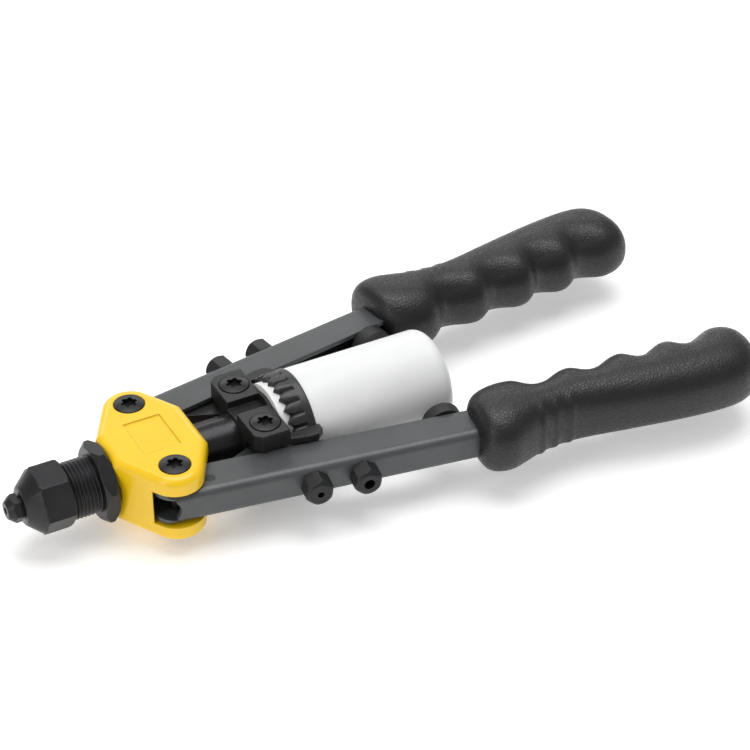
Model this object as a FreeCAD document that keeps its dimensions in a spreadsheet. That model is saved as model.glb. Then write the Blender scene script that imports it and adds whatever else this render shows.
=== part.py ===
import FreeCAD, Part
import math
import os

import Sketcher

os.makedirs("parts", exist_ok=True)
doc = FreeCAD.newDocument("HandRiveter")
Vector = FreeCAD.Vector
Rotation = FreeCAD.Rotation

# ---------------------------------------------------------------- dimensions
# Every length is in millimetres. X runs along the tool, from the nose (-) to
# the grips (+), measured from the head's two pivots. Y is across the tool and
# Z is up, both measured from the tool's axis. The finished pieces are shifted
# so that the origin is under the middle of the tool, where it stands.
SIZES = {
    "shift_x": -83.3,           # tool frame to part frame
    "shift_z": 19.3,
    # head casting
    "head_half": 13.5,          # half thickness of the fork
    "pivot_y": 20.0,            # lever pivot, either side of the axis
    "cheek_radius": 10.0,       # round of the casting about a pivot
    "head_front": -18.2,
    "head_front_half": 8.3,
    "head_rear": 16.3,
    "head_rear_half": 11.6,
    "head_edge_round": 3.2,
    "slot_front": -10.0,
    "slot_half": 7.0,
    "slot_reach": 40.0,         # past the outside of the casting
    "head_bore": 10.0,
    "panel_front": -7.0,        # shallow panel on top of the casting
    "panel_rear": 7.0,
    "panel_half": 9.6,
    "panel_depth": 0.5,
    "pivot_shank": 3.0,
    "pivot_head": 5.45,
    "pivot_seat": 5.75,
    "pivot_seat_depth": 1.7,
    "screw_top": 14.4,
    "socket_core": 2.25,
    "socket_lobe": 0.82,
    "socket_depth": 2.0,
    "dome": 22.0,
    "washer_radius": 6.5,
    "washer_thick": 0.5,
    # front sleeve, lock nut and nosepiece
    "thread_radius": 10.5,
    "thread_step": 0.55,
    "thread_pitch": 1.5,
    "sleeve_hex_front": -44.6,
    "sleeve_hex_rear": -34.1,
    "sleeve_corner": 12.55,
    "sleeve_cone": 12.3,
    "sleeve_face": -50.5,
    "sleeve_face_radius": 7.0,
    "sleeve_bore": 8.35,
    "sleeve_bore_front": -43.5,
    "sleeve_turn": 5.4,
    "nut_front": -23.5,
    "nut_corner": 15.2,
    "nut_bevel_radius": 13.2,
    "nut_turn": 46.0,
    "nose_tip": -56.0,
    "nose_hex_rear": -51.3,
    "nose_corner": 5.4,
    "nose_tip_radius": 3.1,
    "nose_stub": 4.0,
    "nose_stub_rear": -44.6,
    "nose_opener": -42.4,
    "nose_hole": 1.4,
    "nose_bore_front": -60.0,
    # puller: jaw housing, jaws, tube
    "jaw_front": -30.0,
    "jaw_case_radius": 8.3,
    "jaw_mouth": 2.6,
    "jaw_cone_rear": -18.0,
    "jaw_bore": 6.0,
    "jaw_case_rear": 2.0,
    "spigot_radius": 6.9,
    "spigot_rear": 10.0,
    "jaw_start": -28.4,
    "jaw_tip_radius": 2.9,
    "jaw_back": -17.6,
    "jaw_back_radius": 5.85,
    "jaw_throat": 1.3,
    "jaw_sector": 112.0,
    "pusher_front": -17.4,
    "pusher_flange_rear": -14.4,
    "pusher_radius": 5.7,
    "pusher_stem": 2.9,
    "pusher_rear": -5.0,
    "pusher_hole": 1.8,
    "spring_radius": 4.6,
    "spring_wire": 0.5,
    "spring_pitch": 2.6,
    "tube_radius": 9.5,
    "tube_bore": 4.6,
    "tail_radius": 6.2,
    "tail_rear": 41.0,
    # yoke
    "yoke_half": 13.5,
    "yoke_front": 31.2,
    "yoke_nose_half": 18.1,
    "yoke_shoulder_x": 33.7,
    "yoke_shoulder_half": 20.6,
    "lug_rear": 44.3,
    "lug_rear_half": 20.8,
    "rail_wide_x": 51.0,
    "rail_half": 22.6,
    "rail_corner_x": 54.6,
    "rail_rear": 57.0,
    "rail_rear_half": 20.6,
    "rail_top": 9.2,
    "rail_cut": 12.0,
    "gap_half": 6.6,            # room between the yoke's plates
    "core_half": 7.6,
    "front_wall_half": 10.4,
    "front_wall_rear": 32.7,
    "groove_half": 4.0,
    "groove_floor": 10.4,
    "collar_clear": 19.7,
    "boss_radius": 14.15,
    "boss_front": 43.6,
    "boss_rear": 54.0,
    "link_x": 38.2,             # link pivot on the yoke
    "link_y": 12.9,
    "link_shank": 2.5,
    "link_head": 5.35,
    "link_seat": 5.65,
    "link_seat_depth": 1.5,
    # bottle and its collar
    "neck_front": 44.7,
    "neck_radius": 16.7,
    "shoulder_front": 56.4,
    "shoulder_lead": 18.2,
    "bottle_radius": 18.8,
    "bottle_rear": 113.0,
    "bottle_wall": 1.6,
    "bottle_edge": 4.4,
    "collar_front": 47.0,
    "collar_rear": 56.3,
    "collar_rim": 19.3,
    "collar_rim_front": 53.6,
    "collar_root": 18.3,
    "collar_rib": 0.95,
    # levers
    "knuckle": 9.0,             # round of the lever about its pivot
    "lever_half": 6.2,
    "lever_sheet": 1.8,
    "lever_inner_start": 13.58,
    "lever_inner_mid_x": 112.0,
    "lever_inner_mid": 32.62,
    "lever_end": 168.0,
    "lever_inner_end": 42.14,
    "lever_outer_start": 29.14,
    "lever_outer_end": 56.02,
    "web_front": -3.4,
    "web_front_outer": 28.6,
    "lever_skin": 1.83,         # web thickness measured across the tool
    "lever_bend": 3.2,
    "web_notch": 4.2,           # hollow in the web's front edge
    "web_notch_x": -6.2,
    "pivot_hole": 3.05,
    "pin_x": 11.0,              # link pin on the lever
    "pin_y": 24.0,
    "pin_radius": 2.0,
    # links
    "link_half": 3.6,
    "link_boss": 5.0,
    "link_boss_half": 6.2,
    "link_hole": 2.55,
    "link_eye": 4.8,
    "link_eye_hole": 3.25,
    "link_bar_half": 3.9,
    # spare nosepieces
    "spare_front_x": 45.6,
    "spare_rear_x": 63.3,
    "spare_reach": 7.6,
    "spare_corner": 5.35,
    "spare_tip_radius": 3.9,
    "spare_bevel": 1.5,
    "spare_stub": 3.0,
    "spare_front_hole": 1.2,
    "spare_rear_hole": 2.0,
    "lever_angle": 9.089,       # slope of the web against the axis
    # bumpers
    "bumper_x": 99.3,
    "bumper_radius": 7.4,
    "bumper_long": 6.4,
    "bumper_stem": 3.2,
    "bumper_lead": 1.2,
    # grips
    "grip_lean": 0.16,          # slope of a grip's sections across the tool
    "grip_lift": 1.6,           # the grips are moulded a little above the levers
}

sheet = doc.addObject("Spreadsheet::Sheet", "Dims")
for row, (alias, length) in enumerate(SIZES.items(), start=1):
    sheet.set(f"A{row}", alias)
    sheet.set(f"B{row}", str(length))
    sheet.setAlias(f"B{row}", alias)
doc.recompute()


def size(ref):
    """Number of a reference such as "head_rear" or "-head_rear"; "0" is zero."""
    if ref == "0":
        return 0.0
    sign = -1.0 if ref.startswith("-") else 1.0
    return sign * float(sheet.get(ref.lstrip("-")))


def cell(ref):
    """The same reference as an expression on the sheet."""
    if ref.startswith("-"):
        return "-Dims." + ref.lstrip("-")
    return "Dims." + ref


def mirrored(ref, side):
    """The reference itself on the +Y side, its opposite on the -Y side."""
    if side > 0 or ref == "0":
        return ref
    return ref[1:] if ref.startswith("-") else "-" + ref


nodes = []


def finish(obj, label):
    """Name a sub-part and shift it from the tool's axis to the part's frame."""
    obj.Label = label
    obj.setExpression("Placement.Base.x", "Dims.shift_x")
    obj.setExpression("Placement.Base.z", "Dims.shift_z")
    nodes.append(obj)
    return obj


# ---------------------------------------------------------------- PartDesign
def new_body(name):
    return doc.addObject("PartDesign::Body", name)


def origin_plane(body, role):
    return next(f for f in body.Origin.OriginFeatures if f.Role == role)


def new_sketch(body, name, role="XY_Plane", offset=None):
    """Sketch on one of the body's own planes, moved along its normal."""
    sketch = body.newObject("Sketcher::SketchObject", name)
    sketch.AttachmentSupport = [(origin_plane(body, role), "")]
    sketch.MapMode = "FlatFace"
    if offset:
        sketch.setExpression("AttachmentOffset.Base.z", cell(offset))
    return sketch


def pin_point(sketch, curve, end, x_ref, y_ref):
    """Fix one point of a curve at two distances from the sketch's origin."""
    for kind, axis, ref in (("DistanceX", -2, x_ref), ("DistanceY", -1, y_ref)):
        if ref == "0":
            sketch.addConstraint(Sketcher.Constraint("PointOnObject", curve, end, axis))
        else:
            index = sketch.addConstraint(
                Sketcher.Constraint(kind, -1, 1, curve, end, size(ref)))
            sketch.setExpression(f"Constraints[{index}]", cell(ref))


def draw_polygon(sketch, points):
    """Closed outline through points, each a pair of references."""
    places = [Vector(size(x), size(y), 0) for x, y in points]
    first = sketch.GeometryCount
    count = len(points)
    for i in range(count):
        sketch.addGeometry(Part.LineSegment(places[i], places[(i + 1) % count]), False)
    for i in range(count):
        sketch.addConstraint(Sketcher.Constraint(
            "Coincident", first + i, 2, first + (i + 1) % count, 1))
    for i, (x_ref, y_ref) in enumerate(points):
        pin_point(sketch, first + i, 1, x_ref, y_ref)


def draw_circle(sketch, x_ref, y_ref, radius_ref):
    centre = Vector(size(x_ref), size(y_ref), 0)
    curve = sketch.addGeometry(
        Part.Circle(centre, Vector(0, 0, 1), size(radius_ref)), False)
    if x_ref == "0" and y_ref == "0":
        sketch.addConstraint(Sketcher.Constraint("Coincident", curve, 3, -1, 1))
    else:
        pin_point(sketch, curve, 3, x_ref, y_ref)
    index = sketch.addConstraint(Sketcher.Constraint("Radius", curve, size(radius_ref)))
    sketch.setExpression(f"Constraints[{index}]", cell(radius_ref))


def draw_box(sketch, x_low, x_high, y_low, y_high):
    draw_polygon(sketch, [(x_low, y_low), (x_high, y_low), (x_high, y_high), (x_low, y_high)])


def extrude(body, sketch, kind, length, midplane=False, reversed_way=False):
    """Pad or Pocket of a sketch, its length an expression on the sheet."""
    feature = body.newObject("PartDesign::" + kind, sketch.Name + kind)
    feature.Profile = sketch
    feature.SideType = "Symmetric" if midplane else "One side"
    feature.Reversed = reversed_way
    feature.setExpression("Length", length)
    return feature


def turn(body, sketch, kind="Revolution"):
    """Full turn of a half profile about the tool's axis."""
    feature = body.newObject("PartDesign::" + kind, sketch.Name + kind)
    feature.Profile = sketch
    feature.ReferenceAxis = (sketch, ["H_Axis"])
    feature.Angle = 360
    return feature


def turned(name, points):
    """Body turned about X from points of (station, radius)."""
    body = new_body(name)
    sketch = new_sketch(body, name + "Profile")
    draw_polygon(sketch, points)
    turn(body, sketch)
    return body


def round_edges(body, base, radius_ref, wanted, kind="Fillet"):
    """Round every edge of a feature that the test accepts."""
    doc.recompute()
    names = [f"Edge{i + 1}" for i, edge in enumerate(base.Shape.Edges) if wanted(edge)]
    feature = body.newObject("PartDesign::" + kind, base.Name + kind)
    feature.Base = (base, names)
    feature.setExpression("Radius" if kind == "Fillet" else "Size", cell(radius_ref))
    return feature


def flat_at(edge, height):
    """True for an edge that lies at one height."""
    box = edge.BoundBox
    return abs(box.ZMin - height) < 1e-4 and abs(box.ZMax - height) < 1e-4


# ---------------------------------------------------------------- primitives
AXES = {
    "z": Rotation(),
    "x": Rotation(Vector(0, 1, 0), 90),
}


def primitive(kind, name, at, sizes, rotation=None):
    """Part primitive whose place and sizes are expressions on the sheet."""
    obj = doc.addObject("Part::" + kind, name)
    if rotation is not None:
        obj.Placement = FreeCAD.Placement(Vector(), rotation)
    for axis, text in zip("xyz", at):
        if text != "0":
            obj.setExpression("Placement.Base." + axis, text)
    for key, text in sizes.items():
        obj.setExpression(key, text)
    return obj


def rod(name, start, end, radius):
    """Round bar along the tool's axis between two stations."""
    return primitive("Cylinder", name, (cell(start), "0", "0"),
                     {"Height": f"{cell(end)} - ({cell(start)})", "Radius": cell(radius)},
                     AXES["x"])


def taper(name, start, end, start_radius, end_radius):
    return primitive("Cone", name, (cell(start), "0", "0"),
                     {"Height": f"{cell(end)} - ({cell(start)})",
                      "Radius1": cell(start_radius), "Radius2": cell(end_radius)},
                     AXES["x"])


def hex_bar(name, start, end, corner, turn_degrees):
    """Hexagonal bar along the axis with one corner turned from +Y towards +Z."""
    rotation = Rotation(Vector(1, 0, 0), turn_degrees) * Rotation(Vector(0, 0, 1), Vector(1, 0, 0))
    corner_way = rotation.multVec(Vector(1, 0, 0))
    spin = math.degrees(math.atan2(corner_way.z, corner_way.y))
    rotation = Rotation(Vector(1, 0, 0), turn_degrees - spin) * rotation
    obj = primitive("Prism", name, (cell(start), "0", "0"),
                    {"Circumradius": cell(corner), "Height": f"{cell(end)} - ({cell(start)})"},
                    rotation)
    obj.Polygon = 6
    return obj


def fuse(name, shapes):
    obj = doc.addObject("Part::MultiFuse", name)
    obj.Shapes = shapes
    return obj


def common(name, shapes):
    obj = doc.addObject("Part::MultiCommon", name)
    obj.Shapes = shapes
    return obj


def cut(name, base, tool):
    obj = doc.addObject("Part::Cut", name)
    obj.Base = base
    obj.Tool = tool
    return obj


def compound(name, shapes):
    obj = doc.addObject("Part::Compound", name)
    obj.Links = shapes
    return obj


def post(name, x_text, y_text, low, high, radius):
    """Upright cylinder between two heights."""
    return primitive("Cylinder", name, (x_text, y_text, low),
                     {"Height": f"({high}) - ({low})", "Radius": radius}, AXES["z"])


# ---------------------------------------------------------------- head casting
def draw_head_outline(sketch):
    """Front and rear flats joined by lines tangent to a round at each pivot."""
    front, rear = size("head_front"), size("head_rear")
    front_half, rear_half = size("head_front_half"), size("head_rear_half")
    pivot, radius = size("pivot_y"), size("cheek_radius")

    def touch(px, py, way):
        """Point where a line from (px, py) touches the round at +Y."""
        dx, dy = px, py - pivot
        away = math.hypot(dx, dy)
        lean = math.atan2(dy, dx) + way * math.acos(radius / away)
        return Vector(radius * math.cos(lean), pivot + radius * math.sin(lean), 0)

    front_touch = touch(front, front_half, -1)
    rear_touch = touch(rear, rear_half, 1)
    flip = lambda p: Vector(p.x, -p.y, 0)
    corners = [Vector(front, front_half, 0), Vector(rear, rear_half, 0)]
    angle = lambda p: math.atan2(p.y - pivot, p.x)
    round_far = Part.ArcOfCircle(
        Part.Circle(Vector(0, pivot, 0), Vector(0, 0, 1), radius),
        angle(rear_touch), angle(front_touch))
    round_near = Part.ArcOfCircle(
        Part.Circle(Vector(0, -pivot, 0), Vector(0, 0, 1), radius),
        -angle(front_touch), -angle(rear_touch))
    curves = [
        Part.LineSegment(flip(corners[0]), corners[0]),
        Part.LineSegment(corners[0], front_touch),
        round_far,
        Part.LineSegment(rear_touch, corners[1]),
        Part.LineSegment(corners[1], flip(corners[1])),
        Part.LineSegment(flip(corners[1]), flip(rear_touch)),
        round_near,
        Part.LineSegment(flip(front_touch), flip(corners[0])),
    ]
    for curve in curves:
        sketch.addGeometry(curve, False)
    joins = [(0, 2, 1, 1), (3, 2, 4, 1), (4, 2, 5, 1), (7, 2, 0, 1)]
    for first, first_end, second, second_end in joins:
        sketch.addConstraint(Sketcher.Constraint(
            "Coincident", first, first_end, second, second_end))
    for first, first_end, second, second_end in [(1, 2, 2, 2), (3, 1, 2, 1),
                                                 (5, 2, 6, 2), (7, 1, 6, 1)]:
        sketch.addConstraint(Sketcher.Constraint(
            "Tangent", first, first_end, second, second_end))
    pin_point(sketch, 0, 1, "head_front", "-head_front_half")
    pin_point(sketch, 0, 2, "head_front", "head_front_half")
    pin_point(sketch, 4, 1, "head_rear", "head_rear_half")
    pin_point(sketch, 4, 2, "head_rear", "-head_rear_half")
    for arc, ref in ((2, "pivot_y"), (6, "-pivot_y")):
        pin_point(sketch, arc, 3, "0", ref)
        index = sketch.addConstraint(Sketcher.Constraint("Radius", arc, radius))
        sketch.setExpression(f"Constraints[{index}]", cell("cheek_radius"))


head = new_body("HeadCasting")
outline = new_sketch(head, "HeadOutline")
draw_head_outline(outline)
head_block = extrude(head, outline, "Pad", "2 * Dims.head_half", midplane=True)
half = size("head_half")
round_edges(head, head_block, "head_edge_round",
            lambda edge: flat_at(edge, half) or flat_at(edge, -half))
fork = new_sketch(head, "ForkSlot")
draw_box(fork, "slot_front", "slot_reach", "-slot_reach", "slot_reach")
extrude(head, fork, "Pocket", "2 * Dims.slot_half", midplane=True)
bore = new_sketch(head, "TubeBore", "YZ_Plane")
draw_circle(bore, "0", "0", "head_bore")
extrude(head, bore, "Pocket", "2 * Dims.slot_reach", midplane=True)
front_hole = new_sketch(head, "SleeveHole", "YZ_Plane", "slot_front")
draw_circle(front_hole, "0", "0", "thread_radius")
extrude(head, front_hole, "Pocket", "Dims.slot_reach")
for name, side in (("Top", 1), ("Bottom", -1)):
    seat = new_sketch(head, name + "Seats", "XY_Plane", mirrored("head_half", side))
    draw_circle(seat, "0", "pivot_y", "pivot_seat")
    draw_circle(seat, "0", "-pivot_y", "pivot_seat")
    extrude(head, seat, "Pocket", "Dims.pivot_seat_depth", reversed_way=side < 0)
panel = new_sketch(head, "TopPanel", "XY_Plane", "head_half")
draw_box(panel, "panel_front", "panel_rear", "-panel_half", "panel_half")
extrude(head, panel, "Pocket", "Dims.panel_depth")
pivots = new_sketch(head, "PivotHoles")
draw_circle(pivots, "0", "pivot_y", "pivot_shank")
draw_circle(pivots, "0", "-pivot_y", "pivot_shank")
extrude(head, pivots, "Pocket", "4 * Dims.head_half", midplane=True)
finish(head, "head_casting")

# ---------------------------------------------------------------- front end
thread = rod("SleeveThread", "sleeve_hex_rear", "slot_front", "thread_radius")
sleeve_hex = hex_bar("SleeveHex", "sleeve_hex_front", "sleeve_hex_rear",
                     "sleeve_corner", size("sleeve_turn"))
sleeve_nose = taper("SleeveNose", "sleeve_face", "sleeve_hex_front",
                    "sleeve_face_radius", "sleeve_cone")
sleeve_solid = fuse("SleeveSolid", [thread, sleeve_hex, sleeve_nose])
sleeve_hollow = fuse("SleeveHollow", [
    rod("SleeveBore", "sleeve_bore_front", "slot_reach", "sleeve_bore"),
    rod("NoseHole", "nose_tip", "sleeve_bore_front", "nose_stub"),
])
finish(cut("FrontSleeve", sleeve_solid, sleeve_hollow), "front_sleeve")

nut_block = common("NutBlock", [
    hex_bar("NutHex", "nut_front", "head_front", "nut_corner", size("nut_turn")),
    taper("NutBevelFront", "nut_front", "head_front", "nut_bevel_radius", "bottle_radius"),
    taper("NutBevelRear", "nut_front", "head_front", "bottle_radius", "nut_bevel_radius"),
])
finish(cut("LockNut", nut_block, rod("NutBore", "sleeve_face", "head_rear", "thread_radius")),
       "lock_nut")

nose_block = common("NoseBlock", [
    hex_bar("NoseHex", "nose_tip", "nose_hex_rear", "nose_corner", size("sleeve_turn")),
    taper("NoseBevel", "nose_tip", "nose_hex_rear", "nose_tip_radius", "sleeve_face_radius"),
])
nose_solid = fuse("NoseSolid", [
    nose_block,
    rod("NoseStub", "nose_hex_rear", "nose_stub_rear", "nose_stub"),
    taper("NoseOpener", "nose_stub_rear", "nose_opener", "nose_stub", "pusher_hole"),
])
finish(cut("Nosepiece", nose_solid, rod("NoseBore", "nose_bore_front", "slot_front", "nose_hole")),
       "nosepiece")


# ---------------------------------------------------------------- screws
def torx_screw(name, x_text, y_text, seat, bottom, head_radius, shank_radius):
    """Domed button-head screw with a six-lobed socket, head up."""
    cap = post(name + "Cap", x_text, y_text, seat, "Dims.screw_top", head_radius)
    dome = primitive("Sphere", name + "Dome",
                     (x_text, y_text, "Dims.screw_top - Dims.dome"), {"Radius": "Dims.dome"})
    head_part = common(name + "Head", [cap, dome])
    shank = post(name + "Shank", x_text, y_text, bottom, seat, shank_radius)
    floor = "Dims.screw_top - Dims.socket_depth"
    lobes = [post(name + "Core", x_text, y_text, floor, "2 * Dims.screw_top",
                  "Dims.socket_core")]
    for i in range(6):
        angle = 60 * i
        lobes.append(post(f"{name}Lobe{i}",
                          f"{x_text} + Dims.socket_core * cos({angle} deg)",
                          f"{y_text} + Dims.socket_core * sin({angle} deg)",
                          floor, "2 * Dims.screw_top", "Dims.socket_lobe"))
    return cut(name, fuse(name + "Solid", [head_part, shank]), fuse(name + "Socket", lobes))


pivot_screws = []
pivot_nuts = []
washers = []
link_screws = []
for tag, sign in (("Far", ""), ("Near", "-")):
    pivot = f"{sign}Dims.pivot_y"
    pivot_screws.append(torx_screw(
        "PivotScrew" + tag, "0", pivot,
        "Dims.head_half - Dims.pivot_seat_depth", "-Dims.head_half - 0.4",
        "Dims.pivot_head", "Dims.pivot_shank"))
    nut = primitive("Prism", "PivotNutHex" + tag,
                    ("0", pivot, "-Dims.head_half - 0.6"),
                    {"Circumradius": "Dims.pivot_head", "Height": "Dims.pivot_seat_depth + 0.6"})
    nut.Polygon = 6
    hole = post("PivotNutHole" + tag, "0", pivot, "-2 * Dims.head_half",
                "0", "Dims.pivot_shank")
    pivot_nuts.append(cut("PivotNut" + tag, nut, hole))
    for level, low in (("Top", "Dims.slot_half - Dims.washer_thick"),
                       ("Bottom", "-Dims.slot_half")):
        ring = post(f"Washer{level}{tag}", "0", pivot, low,
                    f"{low} + Dims.washer_thick", "Dims.washer_radius")
        hole = post(f"WasherHole{level}{tag}", "0", pivot, f"{low} - 1",
                    f"{low} + 2", "Dims.pivot_shank")
        washers.append(cut(f"WasherRing{level}{tag}", ring, hole))
    link_screws.append(torx_screw(
        "LinkScrew" + tag, "Dims.link_x", f"{sign}Dims.link_y",
        "Dims.yoke_half - Dims.link_seat_depth", "-Dims.yoke_half",
        "Dims.link_head", "Dims.link_shank"))
finish(compound("PivotScrews", pivot_screws), "head_pivot_screws")
finish(compound("PivotNuts", pivot_nuts), "head_pivot_nuts")
finish(compound("PivotWashers", washers), "pivot_washers")
finish(compound("LinkScrews", link_screws), "link_screws")

# ---------------------------------------------------------------- jaws and tube
jaw_case = turned("JawCase", [
    ("jaw_front", "jaw_mouth"), ("jaw_front", "jaw_case_radius"),
    ("jaw_case_rear", "jaw_case_radius"), ("jaw_case_rear", "spigot_radius"),
    ("spigot_rear", "spigot_radius"), ("spigot_rear", "jaw_bore"),
    ("jaw_cone_rear", "jaw_bore")])
finish(jaw_case, "jaw_housing")

tube = turned("PullerTube", [
    ("jaw_case_rear", "spigot_radius"), ("jaw_case_rear", "tube_radius"),
    ("yoke_front", "tube_radius"), ("yoke_front", "tail_radius"),
    ("tail_rear", "tail_radius"), ("tail_rear", "tube_bore"),
    ("spigot_rear", "tube_bore"), ("spigot_rear", "spigot_radius")])
finish(tube, "puller_tube")

jaw_sectors = []
for i in range(3):
    wedge = primitive("Cone", f"JawWedge{i}", (cell("jaw_start"), "0", "0"),
                      {"Height": "Dims.jaw_back - Dims.jaw_start",
                       "Radius1": "Dims.jaw_tip_radius", "Radius2": "Dims.jaw_back_radius",
                       "Angle": "Dims.jaw_sector"},
                      Rotation(Vector(1, 0, 0), 120 * i) * AXES["x"])
    jaw_sectors.append(cut(f"Jaw{i}", wedge,
                           rod(f"JawThroat{i}", "jaw_front", "jaw_case_rear", "jaw_throat")))
finish(compound("Jaws", jaw_sectors), "gripping_jaws")

pusher = turned("JawPusher", [
    ("pusher_front", "pusher_hole"), ("pusher_front", "pusher_radius"),
    ("pusher_flange_rear", "pusher_radius"), ("pusher_flange_rear", "pusher_stem"),
    ("pusher_rear", "pusher_stem"), ("pusher_rear", "pusher_hole")])
finish(pusher, "jaw_pusher")


def coil_spring():
    """Compression spring between the pusher's flange and the tube's step."""
    wire = size("spring_wire")
    start = size("pusher_flange_rear") + wire + 0.1
    length = size("spigot_rear") - size("pusher_flange_rear") - 2 * wire - 0.2
    helix = Part.makeHelix(size("spring_pitch"), length, size("spring_radius"))
    ring = Part.Wire(Part.makeCircle(wire, Vector(size("spring_radius"), 0, 0), Vector(0, 1, 0)))
    coil = Part.Wire(helix.Edges).makePipeShell([ring], True, True)
    return coil.transformed(FreeCAD.Placement(Vector(start, 0, 0), AXES["x"]).toMatrix(), True)


spring = doc.addObject("Part::Feature", "JawSpring")
spring.Shape = coil_spring()
finish(spring, "jaw_spring")

# ---------------------------------------------------------------- yoke
yoke = new_body("Yoke")
plan = new_sketch(yoke, "YokePlan")
draw_polygon(plan, [
    ("yoke_front", "-yoke_nose_half"), ("yoke_shoulder_x", "-yoke_shoulder_half"),
    ("lug_rear", "-lug_rear_half"), ("rail_wide_x", "-rail_half"),
    ("rail_corner_x", "-rail_half"), ("rail_rear", "-rail_rear_half"),
    ("rail_rear", "rail_rear_half"), ("rail_corner_x", "rail_half"),
    ("rail_wide_x", "rail_half"), ("lug_rear", "lug_rear_half"),
    ("yoke_shoulder_x", "yoke_shoulder_half"), ("yoke_front", "yoke_nose_half")])
extrude(yoke, plan, "Pad", "2 * Dims.yoke_half", midplane=True)
gap = new_sketch(yoke, "YokeGap")
draw_box(gap, "head_rear", "bottle_rear", "-slot_reach", "slot_reach")
extrude(yoke, gap, "Pocket", "2 * Dims.gap_half", midplane=True)
opening = new_sketch(yoke, "CollarOpening", "YZ_Plane", "lug_rear")
draw_circle(opening, "0", "0", "collar_clear")
extrude(yoke, opening, "Pocket", "Dims.slot_reach", reversed_way=True)
for name, side in (("Top", 1), ("Bottom", -1)):
    level = new_sketch(yoke, name + "RailLevel", "XY_Plane", mirrored("rail_top", side))
    draw_box(level, "lug_rear", "bottle_rear", "-slot_reach", "slot_reach")
    extrude(yoke, level, "Pocket", "Dims.rail_cut", reversed_way=side > 0)
    groove = new_sketch(yoke, name + "Groove", "XY_Plane", mirrored("groove_floor", side))
    draw_box(groove, "head_rear", "bottle_rear", "-groove_half", "groove_half")
    extrude(yoke, groove, "Pocket", "Dims.rail_cut", reversed_way=side > 0)
core = new_sketch(yoke, "YokeCore")
draw_box(core, "front_wall_rear", "boss_front", "-core_half", "core_half")
extrude(yoke, core, "Pad", "2 * Dims.gap_half", midplane=True)
wall = new_sketch(yoke, "FrontWall")
draw_box(wall, "yoke_front", "front_wall_rear", "-front_wall_half", "front_wall_half")
extrude(yoke, wall, "Pad", "2 * Dims.gap_half", midplane=True)
boss = new_sketch(yoke, "BottleBoss", "YZ_Plane", "boss_front")
draw_circle(boss, "0", "0", "boss_radius")
extrude(yoke, boss, "Pad", "Dims.boss_rear - Dims.boss_front")
tail = new_sketch(yoke, "TailHole", "YZ_Plane", "tail_rear")
draw_circle(tail, "0", "0", "tail_radius")
extrude(yoke, tail, "Pocket", "Dims.tail_rear")
through = new_sketch(yoke, "MandrelHole", "YZ_Plane")
draw_circle(through, "0", "0", "tube_bore")
extrude(yoke, through, "Pocket", "2 * Dims.bottle_rear", midplane=True)
seats = new_sketch(yoke, "LinkSeats", "XY_Plane", "yoke_half")
draw_circle(seats, "link_x", "link_y", "link_seat")
draw_circle(seats, "link_x", "-link_y", "link_seat")
extrude(yoke, seats, "Pocket", "Dims.link_seat_depth")
holes = new_sketch(yoke, "LinkHoles")
draw_circle(holes, "link_x", "link_y", "link_shank")
draw_circle(holes, "link_x", "-link_y", "link_shank")
extrude(yoke, holes, "Pocket", "4 * Dims.yoke_half", midplane=True)
finish(yoke, "yoke")

# ---------------------------------------------------------------- bottle
bottle = new_body("MandrelBottle")
shell = new_sketch(bottle, "BottleOutside")
draw_polygon(shell, [
    ("neck_front", "0"), ("neck_front", "neck_radius"), ("shoulder_front", "neck_radius"),
    ("shoulder_front", "bottle_radius"), ("bottle_rear", "bottle_radius"),
    ("bottle_rear", "0")])
bottle_solid = turn(bottle, shell)
rear = size("bottle_rear")
bottle_round = round_edges(
    bottle, bottle_solid, "bottle_edge",
    lambda edge: edge.BoundBox.XMin > rear - 1e-4 and edge.BoundBox.YLength > 1)
neck_hole = new_sketch(bottle, "NeckHole", "YZ_Plane", "neck_front")
draw_circle(neck_hole, "0", "0", "boss_radius")
extrude(bottle, neck_hole, "Pocket", "Dims.shoulder_front + Dims.bottle_wall - Dims.neck_front",
        reversed_way=True)
cavity = new_sketch(bottle, "BottleCavity", "YZ_Plane", "shoulder_front")
index = cavity.addGeometry(
    Part.Circle(Vector(), Vector(0, 0, 1), size("bottle_radius") - size("bottle_wall")), False)
cavity.addConstraint(Sketcher.Constraint("Coincident", index, 3, -1, 1))
index = cavity.addConstraint(Sketcher.Constraint(
    "Radius", index, size("bottle_radius") - size("bottle_wall")))
cavity.setExpression(f"Constraints[{index}]", "Dims.bottle_radius - Dims.bottle_wall")
cavity.setExpression("AttachmentOffset.Base.z", "Dims.shoulder_front + Dims.bottle_wall")
extrude(bottle, cavity, "Pocket",
        "Dims.bottle_rear - Dims.shoulder_front - 2.4 * Dims.bottle_wall", reversed_way=True)
finish(bottle, "mandrel_bottle")

ring = fuse("CollarRing", [
    rod("CollarRoot", "collar_front", "collar_rear", "collar_root"),
    rod("CollarRim", "collar_rim_front", "collar_rear", "collar_rim"),
])
ribs = []
for i in range(24):
    angle = 15 * i
    ribs.append(primitive(
        "Cone", f"CollarRib{i}",
        ("Dims.collar_front", f"(Dims.collar_root - 0.1) * cos({angle} deg)",
         f"(Dims.collar_root - 0.1) * sin({angle} deg)"),
        {"Height": "Dims.collar_rim_front - Dims.collar_front + 0.5",
         "Radius1": "0.3 * Dims.collar_rib", "Radius2": "Dims.collar_rib"},
        AXES["x"]))
collar_solid = fuse("CollarSolid", [ring] + ribs)
finish(cut("BottleCollar", collar_solid,
           rod("CollarBore", "link_x", "bottle_rear", "neck_radius")), "bottle_collar")


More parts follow.
